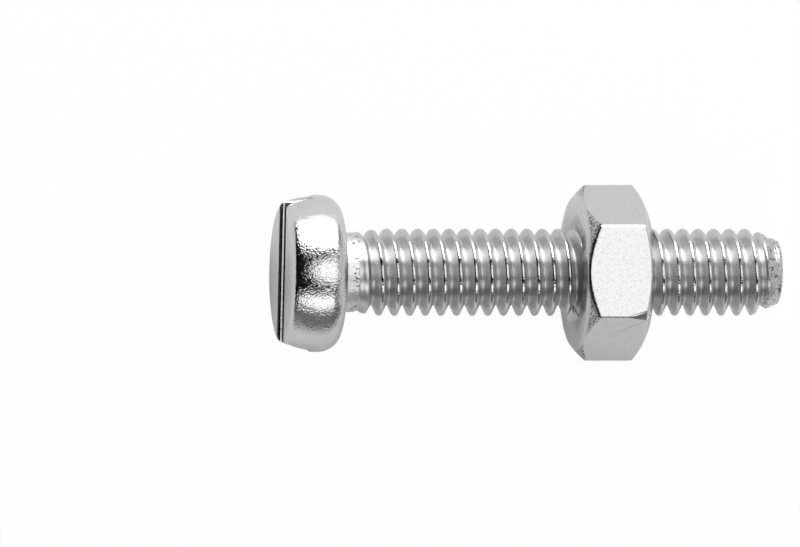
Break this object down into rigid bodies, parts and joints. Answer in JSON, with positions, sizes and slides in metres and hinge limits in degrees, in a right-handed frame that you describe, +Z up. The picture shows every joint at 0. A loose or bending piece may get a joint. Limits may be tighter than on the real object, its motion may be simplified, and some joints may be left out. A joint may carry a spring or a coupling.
{
  "type": "machine screw",
  "caption": "Slotted cheese-head machine screw, M4 x 20, threaded to just under the head, with a chamfered hexagon nut run on to the shank.",
  "frame": {"origin": "on the screw's axis, in the plane of the seat under the head", "axes": "+X along the shank from head to tip; +Z up as it lies, square to one of the nut's flats; +Y to the side"},
  "size_m": [0.0223, 0.0078, 0.007],
  "materials": {
    "screw_plating": "bright zinc plating on rolled steel",
    "nut_plating": "bright zinc plating on pressed steel"
  },
  "bodies": {
    "screw": {"screw": "screw_plating"},
    "nut": {"nut": "nut_plating"}
  },
  "joints": [
    {"name": "nut_travel", "type": "slide", "parent": "screw", "child": "nut", "axis": [1, 0, 0], "range_m": [-0.0084, 0.0084]}
  ]
}
